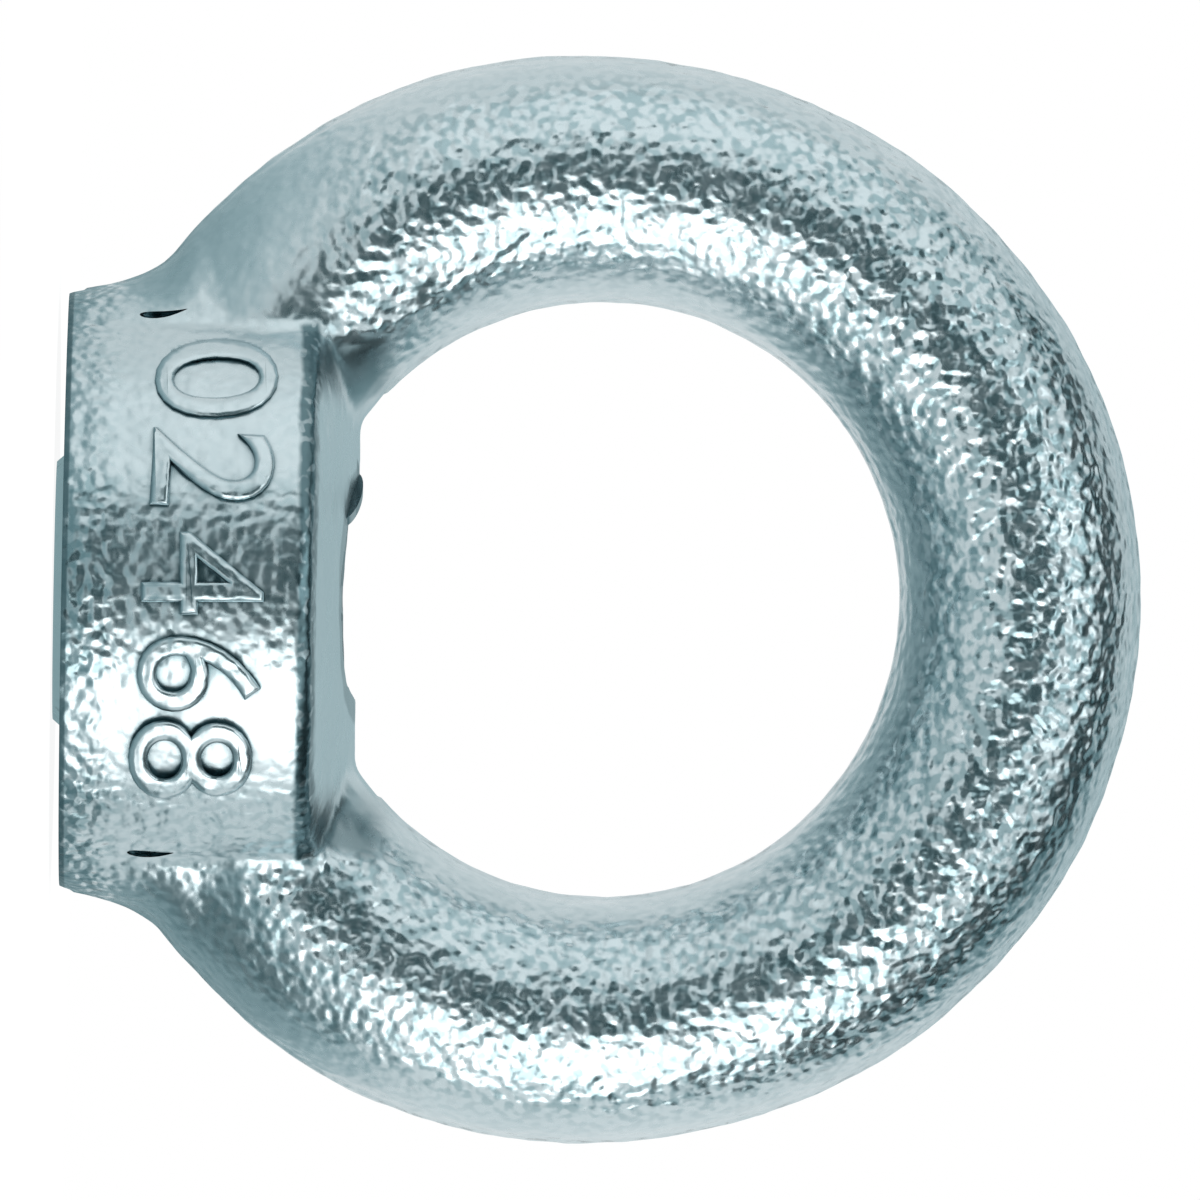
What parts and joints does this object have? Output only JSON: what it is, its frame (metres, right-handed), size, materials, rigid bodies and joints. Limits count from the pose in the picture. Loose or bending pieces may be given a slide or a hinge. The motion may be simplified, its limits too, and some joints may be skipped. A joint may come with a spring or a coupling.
{
  "type": "lifting eye nut",
  "caption": "Forged lifting eye nut: a thick round ring on a short collar with a through thread.",
  "frame": {"origin": "on the thread's axis, level with the lowest point of the raised thread mouth", "axes": "+Z along the thread's axis, up into the ring; the ring lies in the XZ plane"},
  "size_m": [0.045, 0.0244, 0.045],
  "materials": {
    "zinc_plated_steel": "bright zinc plating over a grained forging"
  },
  "bodies": {
    "root": {"eye_nut": "zinc_plated_steel"}
  },
  "joints": []
}
